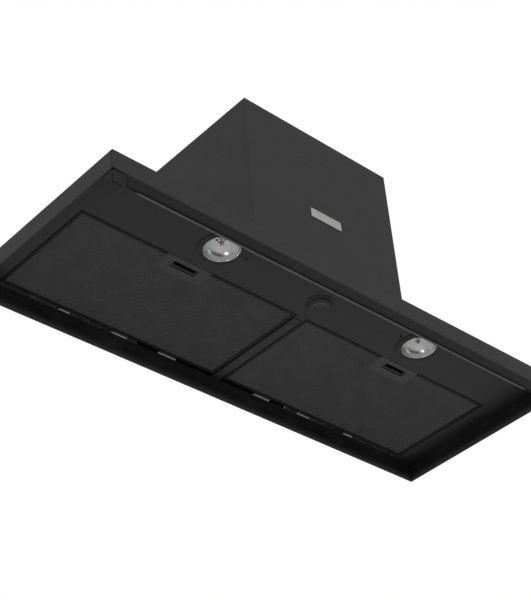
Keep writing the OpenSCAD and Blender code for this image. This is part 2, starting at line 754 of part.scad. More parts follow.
// Two upright angles that carry the blower between the housing's sides
module blower_brackets() color("#6f7478") for (s = [-1, 1]) on_side(s) {
    x0 = scroll_x + scroll_wall + bush_l;
    difference() {
        union() {
            span([x0, bush_y[0] - 8, bush_z - 12], [x0 + hanger_t, bush_y[1] + 8, bush_z + 12]);
            for (y = bush_y) span([x0, y - 8, bush_z + 12 - hanger_t],
                [house_x - sheet, y + 8, bush_z + 12]);
            for (y = bush_y) span([house_x - sheet - hanger_t, y - 8, bush_z + 12 - hanger_t],
                [house_x - sheet, y + 8, bush_z + 30]);
        }
        translate([0, fan_y, fan_z]) rod_x(x0 - 1, x0 + 4, motor_r + 8);
    }
}

module blower_bushes() color("#151515") for (s = [-1, 1], y = bush_y) on_side(s)
    translate([0, y, bush_z + 4]) 
        rod_x(scroll_x + scroll_wall, scroll_x + scroll_wall + bush_l, bush_r);

// Electrical pieces -----------------------------------------------------------------

box_x0 = 26;
box_x1 = house_x - 14;
box_y0 = house_front + 4;
box_y1 = house_front + 58;
box_z1 = tray_h + 52;
box_wall = 2;
lead_y = house_front + 12;
lead_z = tray_h + 60;

module capacitor() color("#d8dadd") translate([0, house_front + 30, tray_h + 17]) {
    rod_x(-120, -72, 15);
    rod_x(-72.5, -66, 6);
    span([-108, -17, -17], [-84, 17, -12]);
}

module control_box() color("#e2e0da") difference() {
    span([box_x0, box_y0, tray_h], [box_x1, box_y1, box_z1]);
    span([box_x0 + box_wall, box_y0 + box_wall, tray_h + box_wall],
        [box_x1 - box_wall, box_y1 - box_wall, box_z1 + 1]);
}

module control_box_lid() color("#d2d0ca") {
    span([box_x0, box_y0, box_z1], [box_x1, box_y1, box_z1 + 2]);
    span([box_x0 + box_wall + 0.2, box_y0 + box_wall + 0.2, box_z1 - 3],
        [box_x1 - box_wall - 0.2, box_y0 + box_wall + 2, box_z1]);
}

module terminal_block() color("#f0f0ee") difference() {
    x0 = box_x0 + box_wall + 4;
    z0 = tray_h + box_wall;
    y0 = box_y0 + 18;
    span([x0, y0, z0], [x0 + 36, y0 + 18, z0 + 14]);
    for (i = [0 : 2]) translate([x0 + 7 + 11 * i, y0 + 9, z0 + 6]) cylinder(r = 2.4, h = 10);
}

module transformer() color("#7a4d2a") {
    x0 = box_x0 + box_wall + 48;
    z0 = tray_h + box_wall;
    y0 = box_y0 + box_wall + 6;
    span([x0, y0 + 6, z0], [x0 + 44, y0 + 34, z0 + 38]);
    span([x0 + 8, y0, z0 + 8], [x0 + 36, y0 + 40, z0 + 30]);
}

// Threaded cable entry through the housing's top
module cable_gland() color("#1a1a1a") translate([gland_x, gland_y, house_top]) difference() {
    union() {
        cylinder(r = 12, h = 5, $fn = 6);
        cylinder(r = 9.5, h = 14);
        translate([0, 0, -9]) cylinder(r = gland_thread_r, h = 10);
        translate([0, 0, -sheet - 5]) cylinder(r = 12, h = 4.9, $fn = 6);
    }
    translate([0, 0, -12]) cylinder(r = gland_r, h = 30);
}

// Leads from each lamp, through the housing's side and into the control box
module lamp_lead(side, inside) sweep(concat([
    [side * lamp_x, lamp_y, can_top],
    [side * lamp_x, lamp_y, can_top + 8],
    [side * (lamp_x - 8), lamp_y - 1, can_top + 16],
    [side * (lamp_x - 24), lamp_y - 4, lead_z - 2],
    [side * (house_x + 8), lead_y, lead_z],
    [side * (house_x - 6), lead_y, lead_z]], inside), lead_r);

module lamp_leads() color("#dddddd") {
    lamp_lead(1, [[house_x - 14, lead_y + 2, lead_z], [house_x - 26, lead_y + 10, lead_z],
        [house_x - 30, lead_y + 14, lead_z - 2], [house_x - 31, lead_y + 15, box_z1 + 2]]);
    lamp_lead(-1, [[-60, lead_y + 2, lead_z + 2], [box_x0 + 10, lead_y + 4, lead_z + 2],
        [box_x0 + 18, lead_y + 6, lead_z], [box_x0 + 20, lead_y + 6, box_z1 + 2]]);
}

// Fasteners --------------------------------------------------------------------------

module housing_screws() color("silver") housing_screw_places() screw(screw_head_r, 2 * sheet + 1.5);

module collar_screws() color("silver") collar_screw_places() screw(screw_head_r, collar_flange_t + sheet + 1.5);

module blower_screws() color("silver") for (a = [90 : 120 : 330])
    translate([0, fan_y, fan_z]) rotate([a, 0, 0])
        translate([scroll_x + scroll_wall + 2, arm_hole_r, 0]) rotate([0, 90, 0]) screw(screw_head_r, 2 + scroll_wall + 1);

canopy_pan();
front_fascia();
front_lip();
lip_bead();
corner_plates();
centre_bar();
rear_hooks();
rear_rivets();
air_chambers();
housing_shell();
housing_rear();
housing_top();
badge();
duct_collar();
damper_pin();
damper_flap_front();
damper_flap_rear();
filter_frame_left();
filter_mesh_left();
filter_tongues_left();
handle_plate_left();
latch_left();
latch_spring_left();
filter_frame_right();
filter_mesh_right();
filter_tongues_right();
handle_plate_right();
latch_right();
latch_spring_right();
lamp_bezel_left();
lamp_reflector_left();
lamp_capsule_left();
lamp_can_left();
lamp_bezel_right();
lamp_reflector_right();
lamp_capsule_right();
lamp_can_right();
knob_bezel();
knob();
speed_switch();
scroll_casing();
outlet_adapter();
impeller();
motor_shaft();
motor();
motor_bracket();
blower_brackets();
blower_bushes();
capacitor();
control_box();
control_box_lid();
terminal_block();
transformer();
cable_gland();
lamp_leads();
housing_screws();
collar_screws();
blower_screws();
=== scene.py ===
import json
import random
from math import cos, pi, radians, sin, tau

import bmesh
import bpy
from mathutils import Matrix, Vector

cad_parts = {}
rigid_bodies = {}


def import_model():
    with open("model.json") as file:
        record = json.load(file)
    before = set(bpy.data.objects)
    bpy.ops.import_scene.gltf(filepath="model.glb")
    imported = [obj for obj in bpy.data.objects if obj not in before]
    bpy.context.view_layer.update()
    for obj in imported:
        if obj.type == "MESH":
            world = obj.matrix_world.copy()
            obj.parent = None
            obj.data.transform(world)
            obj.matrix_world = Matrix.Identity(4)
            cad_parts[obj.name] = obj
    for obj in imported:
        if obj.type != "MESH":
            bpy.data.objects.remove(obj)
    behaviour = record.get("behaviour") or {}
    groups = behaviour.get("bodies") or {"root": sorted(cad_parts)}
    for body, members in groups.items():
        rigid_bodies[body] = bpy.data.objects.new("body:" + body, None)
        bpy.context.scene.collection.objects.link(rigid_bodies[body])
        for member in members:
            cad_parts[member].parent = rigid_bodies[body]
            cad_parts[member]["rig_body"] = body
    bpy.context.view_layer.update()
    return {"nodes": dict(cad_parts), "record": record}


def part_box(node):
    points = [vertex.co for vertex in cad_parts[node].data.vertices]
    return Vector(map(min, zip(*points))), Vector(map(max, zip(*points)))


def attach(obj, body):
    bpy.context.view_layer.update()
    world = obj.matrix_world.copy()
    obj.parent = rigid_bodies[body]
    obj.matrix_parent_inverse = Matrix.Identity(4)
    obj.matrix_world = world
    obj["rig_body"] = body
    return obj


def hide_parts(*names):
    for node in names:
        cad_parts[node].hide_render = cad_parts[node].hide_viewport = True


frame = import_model()

# Camera and studio ----------------------------------------------------------------------
# The hood hangs at its working height over a pale floor, in a white room with soft light
# from all sides, and is seen from below its front left corner through a long lens.
room = bpy.context.scene
room.view_settings.view_transform = "Standard"

aim = Vector((-0.072, -0.043, 0.0295))
view_distance = 2.372
view_azimuth, view_elevation, view_roll = radians(45.05), radians(36.9), radians(-5.05)
forward = Vector((cos(view_elevation) * cos(view_azimuth),
                  cos(view_elevation) * sin(view_azimuth), sin(view_elevation)))
level = forward.cross(Vector((0, 0, 1))).normalized()
upright = level.cross(forward)
camera_x = level * cos(view_roll) + upright * sin(view_roll)
camera_y = upright * cos(view_roll) - level * sin(view_roll)

camera = bpy.data.objects.new("camera", bpy.data.cameras.new("camera"))
camera.data.lens = 96.61
camera.data.clip_end = 60
camera.matrix_world = Matrix((camera_x, camera_y, -forward)).transposed().to_4x4()
camera.matrix_world.translation = aim - forward * view_distance
room.collection.objects.link(camera)
room.camera = camera

air = bpy.data.worlds.new("white room")
air.use_nodes = True
air_nodes, air_links = air.node_tree.nodes, air.node_tree.links
room_light = air_nodes["Background"]
room_light.inputs["Color"].default_value = (1.0, 1.0, 1.0, 1)
room_light.inputs["Strength"].default_value = 0.52
backdrop = air_nodes.new("ShaderNodeBackground")
backdrop.inputs["Color"].default_value = (1, 1, 1, 1)
seen = air_nodes.new("ShaderNodeLightPath")
either = air_nodes.new("ShaderNodeMixShader")
air_links.new(seen.outputs["Is Camera Ray"], either.inputs["Fac"])
air_links.new(room_light.outputs["Background"], either.inputs[1])
air_links.new(backdrop.outputs["Background"], either.inputs[2])
air_links.new(either.outputs["Shader"], air_nodes["World Output"].inputs["Surface"])
room.world = air


def soft_light(name, place, target, size, power):
    """A square soft box of that size in metres, facing its target."""
    lamp = bpy.data.lights.new(name, "AREA")
    lamp.size = size
    lamp.energy = power
    made = bpy.data.objects.new(name, lamp)
    made.location = place
    made.rotation_euler = (Vector(target) - Vector(place)).to_track_quat("-Z", "Y").to_euler()
    room.collection.objects.link(made)
    return made


soft_light("front light", (-1.2, -2.8, 1.3), (0, 0, 0.15), 1.6, 17)
soft_light("floor light", (2.6, 2.6, 1.2), (2.2, 1.6, -1.6), 0.8, 14)
soft_light("left highlight", (-2.2, -0.8, -0.9), (-0.2, -0.1, 0.03), 0.34, 3.0)
soft_light("right highlight", (-0.8, -2.2, -0.9), (0.0, -0.1, 0.03), 0.34, 3.0)

floor_height = -1.62
floor = bpy.data.objects.new("floor", bpy.data.meshes.new("floor"))
floor_half = 9
floor.data.from_pydata([(-floor_half, -floor_half, floor_height), (floor_half, -floor_half, floor_height),
                        (floor_half, floor_half, floor_height), (-floor_half, floor_half, floor_height)],
                       [], [(0, 1, 2, 3)])
room.collection.objects.link(floor)
floor_paint = bpy.data.materials.new("pale floor")
floor_paint.use_nodes = True
floor_tree = floor_paint.node_tree
floor_clouds = floor_tree.nodes.new("ShaderNodeTexNoise")
floor_clouds.inputs["Scale"].default_value = 0.6
floor_tone = floor_tree.nodes.new("ShaderNodeMix")
floor_tone.data_type = "RGBA"
floor_tone.inputs["A"].default_value = (0.60, 0.60, 0.60, 1)
floor_tone.inputs["B"].default_value = (0.66, 0.66, 0.66, 1)
floor_shader = floor_tree.nodes["Principled BSDF"]
floor_shader.inputs["Roughness"].default_value = 0.8
floor_tree.links.new(floor_clouds.outputs["Fac"], floor_tone.inputs["Factor"])
floor_tree.links.new(floor_tone.outputs["Result"], floor_shader.inputs["Base Color"])
floor.data.materials.append(floor_paint)

# Canopy tray ----------------------------------------------------------------------------
# One sheet of 1 mm steel, folded down on three sides with a hem turned up inside, pierced
# for the filters, lamps and knob, and sprayed and stoved with satin black enamel.
MM = 0.001
slot_of = {part["node"]: part["material_slot"] for part in frame["record"]["subparts"]}


def noise(tree, vector, size, detail=3.0):
    """A noise texture whose lumps are about that many metres across."""
    made = tree.nodes.new("ShaderNodeTexNoise")
    made.inputs["Scale"].default_value = 1 / size
    made.inputs["Detail"].default_value = detail
    tree.links.new(vector, made.inputs["Vector"])
    return made.outputs["Fac"]


def between(tree, value, low, high, start=0.3, end=0.7):
    """Spreads a noise value over low to high."""
    made = tree.nodes.new("ShaderNodeMapRange")
    for socket, number in (("From Min", start), ("From Max", end), ("To Min", low), ("To Max", high)):
        made.inputs[socket].default_value = number
    tree.links.new(value, made.inputs["Value"])
    return made.outputs["Result"]


def finish(name, dark, light, roughness, grain=0.8 * MM, relief=0.008 * MM, cloud=45 * MM,
           metallic=0.0, specular=0.5, stretch=(1, 1, 1)):
    """A surface whose tone wanders from dark to light, with a fine grain and relief in metres."""
    made = bpy.data.materials.new(name)
    made.use_nodes = True
    tree = made.node_tree
    shader = tree.nodes["Principled BSDF"]
    shader.inputs["Metallic"].default_value = metallic
    shader.inputs["Specular IOR Level"].default_value = specular
    place = tree.nodes.new("ShaderNodeTexCoord")
    drawn = tree.nodes.new("ShaderNodeMapping")
    drawn.inputs["Scale"].default_value = stretch
    tree.links.new(place.outputs["Object"], drawn.inputs["Vector"])
    vector = drawn.outputs["Vector"]
    broad, fine = noise(tree, vector, cloud), noise(tree, vector, grain, 2)
    speck = noise(tree, vector, 3.2 * grain, 2)
    both = tree.nodes.new("ShaderNodeMath")
    both.operation = "ADD"
    tree.links.new(broad, both.inputs[0])
    tree.links.new(speck, both.inputs[1])
    tone = tree.nodes.new("ShaderNodeMix")
    tone.data_type = "RGBA"
    tone.inputs["A"].default_value = (*dark, 1)
    tone.inputs["B"].default_value = (*light, 1)
    tree.links.new(between(tree, both.outputs[0], 0, 1, 0.7, 1.3), tone.inputs["Factor"])
    tree.links.new(tone.outputs["Result"], shader.inputs["Base Color"])
    spread = 0.12 * roughness
    tree.links.new(between(tree, broad, roughness - spread, roughness + spread),
                   shader.inputs["Roughness"])
    bump = tree.nodes.new("ShaderNodeBump")
    bump.inputs["Distance"].default_value = relief
    tree.links.new(fine, bump.inputs["Height"])
    tree.links.new(bump.outputs["Normal"], shader.inputs["Normal"])
    return made


def settle(piece, body, slot, material, *replaced):
    """Gives a finished piece its material, its body and the CAD nodes that it stands for."""
    piece.data.materials.clear()
    piece.data.materials.append(material)
    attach(piece, body)
    if replaced:
        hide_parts(*replaced)
    return piece


def as_piece(name, shape, smooth=False):
    """Turns a shape into a named object and drops the shape."""
    mesh = bpy.data.meshes.new(name)
    shape.to_mesh(mesh)
    shape.free()
    if smooth:
        for face in mesh.polygons:
            face.use_smooth = True
    piece = bpy.data.objects.new(name, mesh)
    room.collection.objects.link(piece)
    return piece


def applied(piece):
    """Turns a piece's modifiers or curve into its mesh, so that it is one plain mesh."""
    bpy.context.view_layer.update()
    graph = bpy.context.evaluated_depsgraph_get()
    mesh = bpy.data.meshes.new_from_object(piece.evaluated_get(graph), depsgraph=graph)
    name = piece.name
    bpy.data.objects.remove(piece)
    made = bpy.data.objects.new(name, mesh)
    room.collection.objects.link(made)
    return made


def round_edges(piece, radius, steps=2, angle=35):
    """Rounds the edges that are sharper than an angle, and keeps the flats flat."""
    for face in piece.data.polygons:
        face.use_smooth = True
    bevel = piece.modifiers.new("rounded edges", "BEVEL")
    bevel.width = radius
    bevel.segments = steps
    bevel.limit_method = "ANGLE"
    bevel.angle_limit = radians(angle)
    flats = piece.modifiers.new("flat faces", "WEIGHTED_NORMAL")
    flats.weight = 90
    return applied(piece)


def eased(node, material, radius=0.3 * MM, steps=2, title="sheet"):
    """The CAD node's own shape with its faces merged and its sharp edges eased."""
    shape = bmesh.new()
    source = frame["nodes"][node]
    shape.from_mesh(source.data)
    bmesh.ops.remove_doubles(shape, verts=shape.verts, dist=0.002 * MM)
    bmesh.ops.dissolve_limit(shape, angle_limit=radians(0.5), verts=shape.verts, edges=shape.edges)
    piece = as_piece(f"{node}_{title}", shape)
    for left_over in [a.name for a in piece.data.attributes if a.name == "custom_normal"]:
        piece.data.attributes.remove(piece.data.attributes[left_over])
    piece = round_edges(piece, radius, steps)
    return settle(piece, source["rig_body"], slot_of[node], material, node)


enamel = finish("satin black enamel", (0.010, 0.010, 0.0102), (0.019, 0.019, 0.0195), 0.46,
                relief=0.012 * MM)
eased("canopy_pan", enamel, 0.35 * MM)

# Fascia, lip and corner plates -----------------------------------------------------------
# The front of the tray is a separate folded strip, pushed on between the two sides, and
# behind it stands a lip that shades the lamps; all are folded and enamelled like the tray.
for strip in ("front_fascia", "front_lip", "corner_plates", "centre_bar", "rear_hooks"):
    eased(strip, enamel, 0.3 * MM)


def rounded(points, radius, steps=3):
    """A closed outline with its corners rounded; a corner is cut back less where edges are short."""
    made = []
    for i, corner in enumerate(points):
        corner = Vector(corner)
        before, after = Vector(points[i - 1]), Vector(points[(i + 1) % len(points)])
        cut = min(radius, (before - corner).length * 0.45, (after - corner).length * 0.45)
        start = corner + (before - corner).normalized() * cut
        end = corner + (after - corner).normalized() * cut
        for k in range(steps + 1):
            t = k / steps
            made.append(start * (1 - t) ** 2 + corner * (2 * t * (1 - t)) + end * t * t)
    return made


def turned(name, outline, place=(0, 0, 0), axis=(0, 0, 1), steps=72):
    """A piece turned on a lathe from a closed outline of (radius, height), stood along an axis."""
    shape = bmesh.new()
    rings = []
    for k in range(steps):
        turn = tau * k / steps
        rings.append([shape.verts.new((r * cos(turn), r * sin(turn), h)) for r, h in outline])
    count = len(outline)
    for k in range(steps):
        here, there = rings[k], rings[(k + 1) % steps]
        for i in range(count):
            j = (i + 1) % count
            if outline[i][0] > 1e-7 or outline[j][0] > 1e-7:
                shape.faces.new((here[i], there[i], there[j], here[j]))
    bmesh.ops.remove_doubles(shape, verts=shape.verts, dist=0.001 * MM)
    bmesh.ops.dissolve_degenerate(shape, edges=shape.edges, dist=0.001 * MM)
    bmesh.ops.recalc_face_normals(shape, faces=shape.faces)
    turn_to = Vector((0, 0, 1)).rotation_difference(Vector(axis)).to_matrix().to_4x4()
    shape.transform(Matrix.Translation(Vector(place)) @ turn_to)
    piece = as_piece(name, shape, True)
    sharp = piece.modifiers.new("flat faces", "WEIGHTED_NORMAL")
    sharp.weight = 90
    return applied(piece)


# The lip's lower edge is rolled to a bead; its enamel is painted a much lighter grey than the tray's, a
# painted highlight along the edge that catches the light.
bead_low, bead_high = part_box("lip_bead")
bead_radius = (bead_high.z - bead_low.z) / 2
bead_length = bead_high.x - bead_low.x
bead_painted_highlight = finish("bead lightened as painted highlight", (0.08, 0.08, 0.08), (0.14, 0.14, 0.142), 0.3,
                   relief=0.004 * MM, specular=0.8)
bead_outline = rounded([(0, 0), (bead_radius, 0), (bead_radius, bead_length), (0, bead_length)],
                       bead_radius * 0.9, 5)
bead = turned("lip_bead_roll", bead_outline,
              (bead_low.x, (bead_low.y + bead_high.y) / 2, bead_low.z + bead_radius), (1, 0, 0), 24)
settle(bead, "hood", "edge_steel", bead_painted_highlight, "lip_bead")

# Rivets -----------------------------------------------------------------------------------
# Four domed blind rivets hold the hooks' rail to the rear skirt; their heads are enamelled
# with the tray and show as small dots on its inner wall.
rivet_low, rivet_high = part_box("rear_rivets")
rivet_r = (rivet_high.z - rivet_low.z) / 2
rivet_rise = rivet_high.y - rivet_low.y
rivet_z = (rivet_high.z + rivet_low.z) / 2
rivet_inner_x, rivet_outer_x = 164 * MM, rivet_high.x - rivet_r
dome = [(0, 0), (rivet_r, 0)] + [(rivet_r * cos(a), rivet_rise * (0.25 + 0.75 * sin(a)))
                                 for a in (k * pi / 12 for k in range(0, 6))] + [(0, rivet_rise)]
rivets = []
for rivet_x in (-rivet_outer_x, -rivet_inner_x, rivet_inner_x, rivet_outer_x):
    rivets.append(turned("rivet", dome, (rivet_x, rivet_high.y, rivet_z), (0, -1, 0), 24))


def joined(name, pieces):
    """One object from several of the same kind."""
    shape = bmesh.new()
    for piece in pieces:
        shape.from_mesh(piece.data)
    for piece in pieces:
        bpy.data.objects.remove(piece)
    return as_piece(name, shape)


settle(joined("rear_rivet_heads", rivets), "hood", "black_enamel", enamel, "rear_rivets")

# Air chambers -----------------------------------------------------------------------------
# Low covers of galvanised sheet over the filters lead the air to the housing. They are
# folded, spot-welded at the corners and sealed to the tray, and keep their zinc spangle.


def galvanised_sheet(name, dark=(0.30, 0.31, 0.32), light=(0.52, 0.53, 0.54)):
    """Zinc crystals of about a centimetre, each with its own tone and gloss."""
    made = finish(name, dark, light, 0.42, grain=0.6 * MM, relief=0.01 * MM, metallic=0.85)
    tree = made.node_tree
    shader = tree.nodes["Principled BSDF"]
    place = tree.nodes.new("ShaderNodeTexCoord")
    crystals = tree.nodes.new("ShaderNodeTexVoronoi")
    crystals.inputs["Scale"].default_value = 1 / (9 * MM)
    crystals.inputs["Randomness"].default_value = 1
    tree.links.new(place.outputs["Object"], crystals.inputs["Vector"])
    grey = tree.nodes.new("ShaderNodeRGBToBW")
    tree.links.new(crystals.outputs["Color"], grey.inputs["Color"])
    tone = next(link.from_node for link in shader.inputs["Base Color"].links)
    tree.links.new(between(tree, grey.outputs["Val"], 0, 1, 0.1, 0.9), tone.inputs["Factor"])
    tree.links.new(between(tree, grey.outputs["Val"], 0.32, 0.5, 0.1, 0.9), shader.inputs["Roughness"])
    return made


zinc = galvanised_sheet("spangled zinc")
eased("air_chambers", zinc, 0.35 * MM)

# Motor housing ------------------------------------------------------------------------------
# A front panel with two sides in one fold, a rear panel and a top of 1 mm steel, enamelled
# black and screwed to the tray through a flange along the housing's foot.
for panel in ("housing_shell", "housing_rear", "housing_top"):
    eased(panel, enamel, 0.45 * MM)

# Badge ---------------------------------------------------------------------------------------
# A blank plate of satin anodised aluminium with a chamfered rim, glued to the housing's
# front panel.
badge_low, badge_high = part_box("badge")


def prism(name, outline, depth):
    """A closed outline in X and Y, given a depth along Z."""
    shape = bmesh.new()
    bottom = [shape.verts.new((x, y, 0)) for x, y in outline]
    top = [shape.verts.new((x, y, depth)) for x, y in outline]
    shape.faces.new(reversed(bottom))
    shape.faces.new(top)
    count = len(outline)
    for i in range(count):
        j = (i + 1) % count
        shape.faces.new((bottom[i], bottom[j], top[j], top[i]))
    bmesh.ops.recalc_face_normals(shape, faces=shape.faces)
    return as_piece(name, shape)


def rectangle(x0, y0, x1, y1):
    """The four corners of an upright rectangle."""
    return [(x0, y0), (x1, y0), (x1, y1), (x0, y1)]


badge = prism("badge_plate", rounded(rectangle(badge_low.x, badge_low.z, badge_high.x, badge_high.z),
                                     2 * MM, 4), badge_high.y - badge_low.y)
badge.data.transform(Matrix.Translation((0, badge_high.y, 0)) @ Matrix.Rotation(pi / 2, 4, "X"))
badge = round_edges(badge, 0.5 * MM, 2)
satin = finish("satin anodised plate", (0.50, 0.50, 0.495), (0.60, 0.60, 0.59), 0.42,
               grain=0.35 * MM, relief=0.004 * MM, cloud=12 * MM, metallic=0.6, stretch=(0.06, 1, 1))
settle(badge, "hood", "satin_badge", satin, "badge")

# Duct collar and damper -------------------------------------------------------------------
# A moulded black collar with a stiffening bead and a rolled rim, screwed to the housing's
# top. Two aluminium flaps on one steel pin fall shut inside it when the fan stops.
collar_low, collar_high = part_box("duct_collar")
collar_r = 75 * MM
collar_wall = 1.6 * MM
collar_flange = 1.5 * MM
collar_mid = (collar_low + collar_high) / 2
flange_r = (collar_high.x - collar_low.x) / 2
collar_h = collar_high.z - collar_low.z
damper_low, damper_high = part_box("damper_pin")
stop_z = (damper_low.z + damper_high.z) / 2 - collar_low.z - 0.8 * MM
inner_r = collar_r - collar_wall
stop_r = inner_r - 3.5 * MM
collar_outline = [
    (inner_r, 0), (flange_r - 1 * MM, 0), (flange_r, 0.4 * MM), (flange_r, collar_flange - 0.3 * MM),
    (flange_r - 0.4 * MM, collar_flange), (collar_r + 1.5 * MM, collar_flange),
    (collar_r + 0.3 * MM, collar_flange + 0.6 * MM), (collar_r - 0.3 * MM, collar_flange + 2 * MM),
    (collar_r - 0.3 * MM, collar_h - 12 * MM), (collar_r, collar_h - 11.4 * MM),
    (collar_r, collar_h - 10.2 * MM), (collar_r - 0.3 * MM, collar_h - 9.6 * MM),
    (collar_r - 0.3 * MM, collar_h - 2.6 * MM), (collar_r, collar_h - 2 * MM),
    (collar_r, collar_h - 0.6 * MM), (collar_r - 0.6 * MM, collar_h),
    (inner_r + 0.5 * MM, collar_h), (inner_r, collar_h - 0.6 * MM),
    (inner_r, stop_z + 0.02 * MM), (stop_r, stop_z), (stop_r, stop_z - 1.3 * MM),
    (inner_r, stop_z - 2.6 * MM)]
moulded_black = finish("moulded black plastic", (0.012, 0.012, 0.012), (0.02, 0.02, 0.02), 0.5,
                       grain=0.5 * MM, relief=0.012 * MM)
collar = turned("duct_collar_moulding", collar_outline, (collar_mid.x, collar_mid.y, collar_low.z),
                steps=128)
settle(collar, "hood", "black_plastic", moulded_black, "duct_collar")

mill_aluminium = finish("mill aluminium", (0.42, 0.42, 0.43), (0.58, 0.58, 0.59), 0.38,
                        grain=0.5 * MM, relief=0.006 * MM, metallic=0.9, stretch=(0.08, 1, 1))
bright_steel = finish("bright zinc steel", (0.50, 0.50, 0.50), (0.66, 0.66, 0.65), 0.28,
                      grain=0.4 * MM, relief=0.004 * MM, metallic=0.95)
for flap in ("damper_flap_front", "damper_flap_rear"):
    eased(flap, mill_aluminium, 0.2 * MM)
eased("damper_pin", bright_steel, 0.3 * MM, title="rod")

# Grease filters ---------------------------------------------------------------------------
# Each cassette is a folded black aluminium rim round several layers of expanded mesh. The
# mesh is slit and stretched from foil to small diamonds, and the rim is rolled over it.
# The rim is painted darker than the tray's enamel: a painted shadow of the gap round each filter, on top of
# its black finish.
rim_paint_with_gap_shade = finish("black rim darkened as painted gap shade", (0.006, 0.006, 0.006), (0.010, 0.010, 0.010), 0.55,
                   relief=0.01 * MM, specular=0.3)
plate_paint = finish("satin black pressing", (0.020, 0.020, 0.020), (0.030, 0.030, 0.0305), 0.42,
                     relief=0.01 * MM, specular=0.7)
strand_paint = finish("black expanded foil", (0.072, 0.072, 0.073), (0.102, 0.102, 0.103), 0.42,
                      grain=0.7 * MM, relief=0.01 * MM, cloud=30 * MM)
deep_paint = finish("inner foil layers", (0.062, 0.062, 0.062), (0.096, 0.096, 0.096), 0.5,
                    grain=0.9 * MM, relief=0.12 * MM, cloud=16 * MM)
diamond_x, diamond_y = 6.2 * MM, 3.7 * MM
strand_w, strand_t = 0.95 * MM, 0.35 * MM
strand_tilt = radians(28)


def foil_strands(shape, low, high, hole_low, hole_high, height):
    """Flat strands of a stretched foil in a rectangle, all tilted one way, left out over a hole."""
    rows = int((high.y - low.y) / (diamond_y / 2))
    columns = int((high.x - low.x) / diamond_x)
    step_x = (high.x - low.x) / columns / 2
    step_y = (high.y - low.y) / rows
    for row in range(rows):
        y0 = low.y + row * step_y
        for column in range(2 * columns):
            lean = 1 if (row + column) % 2 else -1
            x0 = low.x + column * step_x
            start = Vector((x0, y0 if lean > 0 else y0 + step_y, height))
            end = Vector((x0 + step_x, y0 + step_y if lean > 0 else y0, height))
            middle = (start + end) / 2
            if hole_low.x < middle.x < hole_high.x and hole_low.y < middle.y < hole_high.y:
                continue
            along = (end - start).normalized()
            across = Vector((-along.y, along.x, 0))
            wide = (across * cos(strand_tilt) + Vector((0, 0, lean * sin(strand_tilt)))) * strand_w / 2
            thick = wide.cross(along).normalized() * strand_t / 2
            corners = []
            for point in (start - along * 0.2 * MM, end + along * 0.2 * MM):
                for a, b in ((-1, -1), (1, -1), (1, 1), (-1, 1)):
                    corners.append(shape.verts.new(point + wide * a + thick * b))
            shape.faces.new(corners[3::-1])
            shape.faces.new(corners[4:])
            for i in range(4):
                j = (i + 1) % 4
                shape.faces.new((corners[i], corners[j], corners[4 + j], corners[4 + i]))


def crumpled_layers(shape, low, high, hole_low, hole_high, cell, seed):
    """The deeper layers as one closed block whose underside is crumpled, notched for the handle."""
    chance = random.Random(seed)
    columns = max(4, round((high.x - low.x) / cell))
    rows = max(4, round((high.y - low.y) / cell))
    step = Vector(((high.x - low.x) / columns, (high.y - low.y) / rows))
    under, over = {}, {}

    def kept(i, j):
        x, y = low.x + (i + 0.5) * step.x, low.y + (j + 0.5) * step.y
        return (0 <= i < columns and 0 <= j < rows
                and not (hole_low.x < x < hole_high.x and y < hole_high.y))

    def vertex(store, i, j, top):
        if (i, j) not in store:
            z = high.z if top else low.z + chance.uniform(0, 0.7) * MM
            store[i, j] = shape.verts.new((low.x + i * step.x, low.y + j * step.y, z))
        return store[i, j]

    for i in range(columns):
        for j in range(rows):
            if not kept(i, j):
                continue
            square = ((i, j), (i + 1, j), (i + 1, j + 1), (i, j + 1))
            shape.faces.new([vertex(under, a, b, False) for a, b in reversed(square)])
            shape.faces.new([vertex(over, a, b, True) for a, b in square])
            for side, (a, b) in enumerate(((i, j - 1), (i + 1, j), (i, j + 1), (i - 1, j))):
                if not kept(a, b):
                    p, q = square[side], square[(side + 1) % 4]
                    shape.faces.new((vertex(under, *p, False), vertex(under, *q, False),
                                     vertex(over, *q, True), vertex(over, *p, True)))


def mesh_piece(name, shape, smooth=False):
    """Turns the faces of a hand-made shape outwards and makes it an object."""
    bmesh.ops.recalc_face_normals(shape, faces=shape.faces)
    return as_piece(name, shape, smooth)


for seed, side in enumerate(("left", "right")):
    body = f"filter_{side}"
    eased(f"filter_frame_{side}", rim_paint_with_gap_shade, 0.5 * MM, 3, "rim")
    pad_low, pad_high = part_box(f"filter_mesh_{side}")
    plate_low, plate_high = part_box(f"handle_plate_{side}")
    foil = bmesh.new()
    foil_low = pad_low - Vector((0.6, 0.6, 0)) * MM
    foil_high = pad_high + Vector((0.6, 0.6, 0)) * MM
    foil_strands(foil, foil_low, foil_high, plate_low, plate_high, pad_low.z + 0.45 * MM)
    half_cell = Vector((diamond_x / 2, 0, 0))
    foil_strands(foil, pad_low + half_cell, pad_high, plate_low, plate_high, pad_low.z + 1.4 * MM)
    settle(mesh_piece(f"filter_foil_{side}", foil), body, "filter_mesh", strand_paint,
           f"filter_mesh_{side}")
    layers = bmesh.new()
    layers_low = Vector((pad_low.x, pad_low.y, pad_low.z + 1.9 * MM))
    crumpled_layers(layers, layers_low, pad_high, plate_low, plate_high, 2.4 * MM, seed)
    settle(mesh_piece(f"filter_layers_{side}", layers), body, "filter_mesh", deep_paint)

# Filter tongues, handle plates and latches ---------------------------------------------------
# Spring-steel tongues hook a filter at the rear, and a pressed steel plate holds a sliding
# bolt at the front, which a finger draws back against a small wire spring.
for side in ("left", "right"):
    eased(f"filter_tongues_{side}", bright_steel, 0.2 * MM, title="springs")
    eased(f"handle_plate_{side}", plate_paint, 0.35 * MM, 3, "pressing")
    eased(f"latch_{side}", moulded_black, 0.3 * MM, title="bolt")
    eased(f"latch_spring_{side}", bright_steel, 0.02 * MM, 1, "wire")

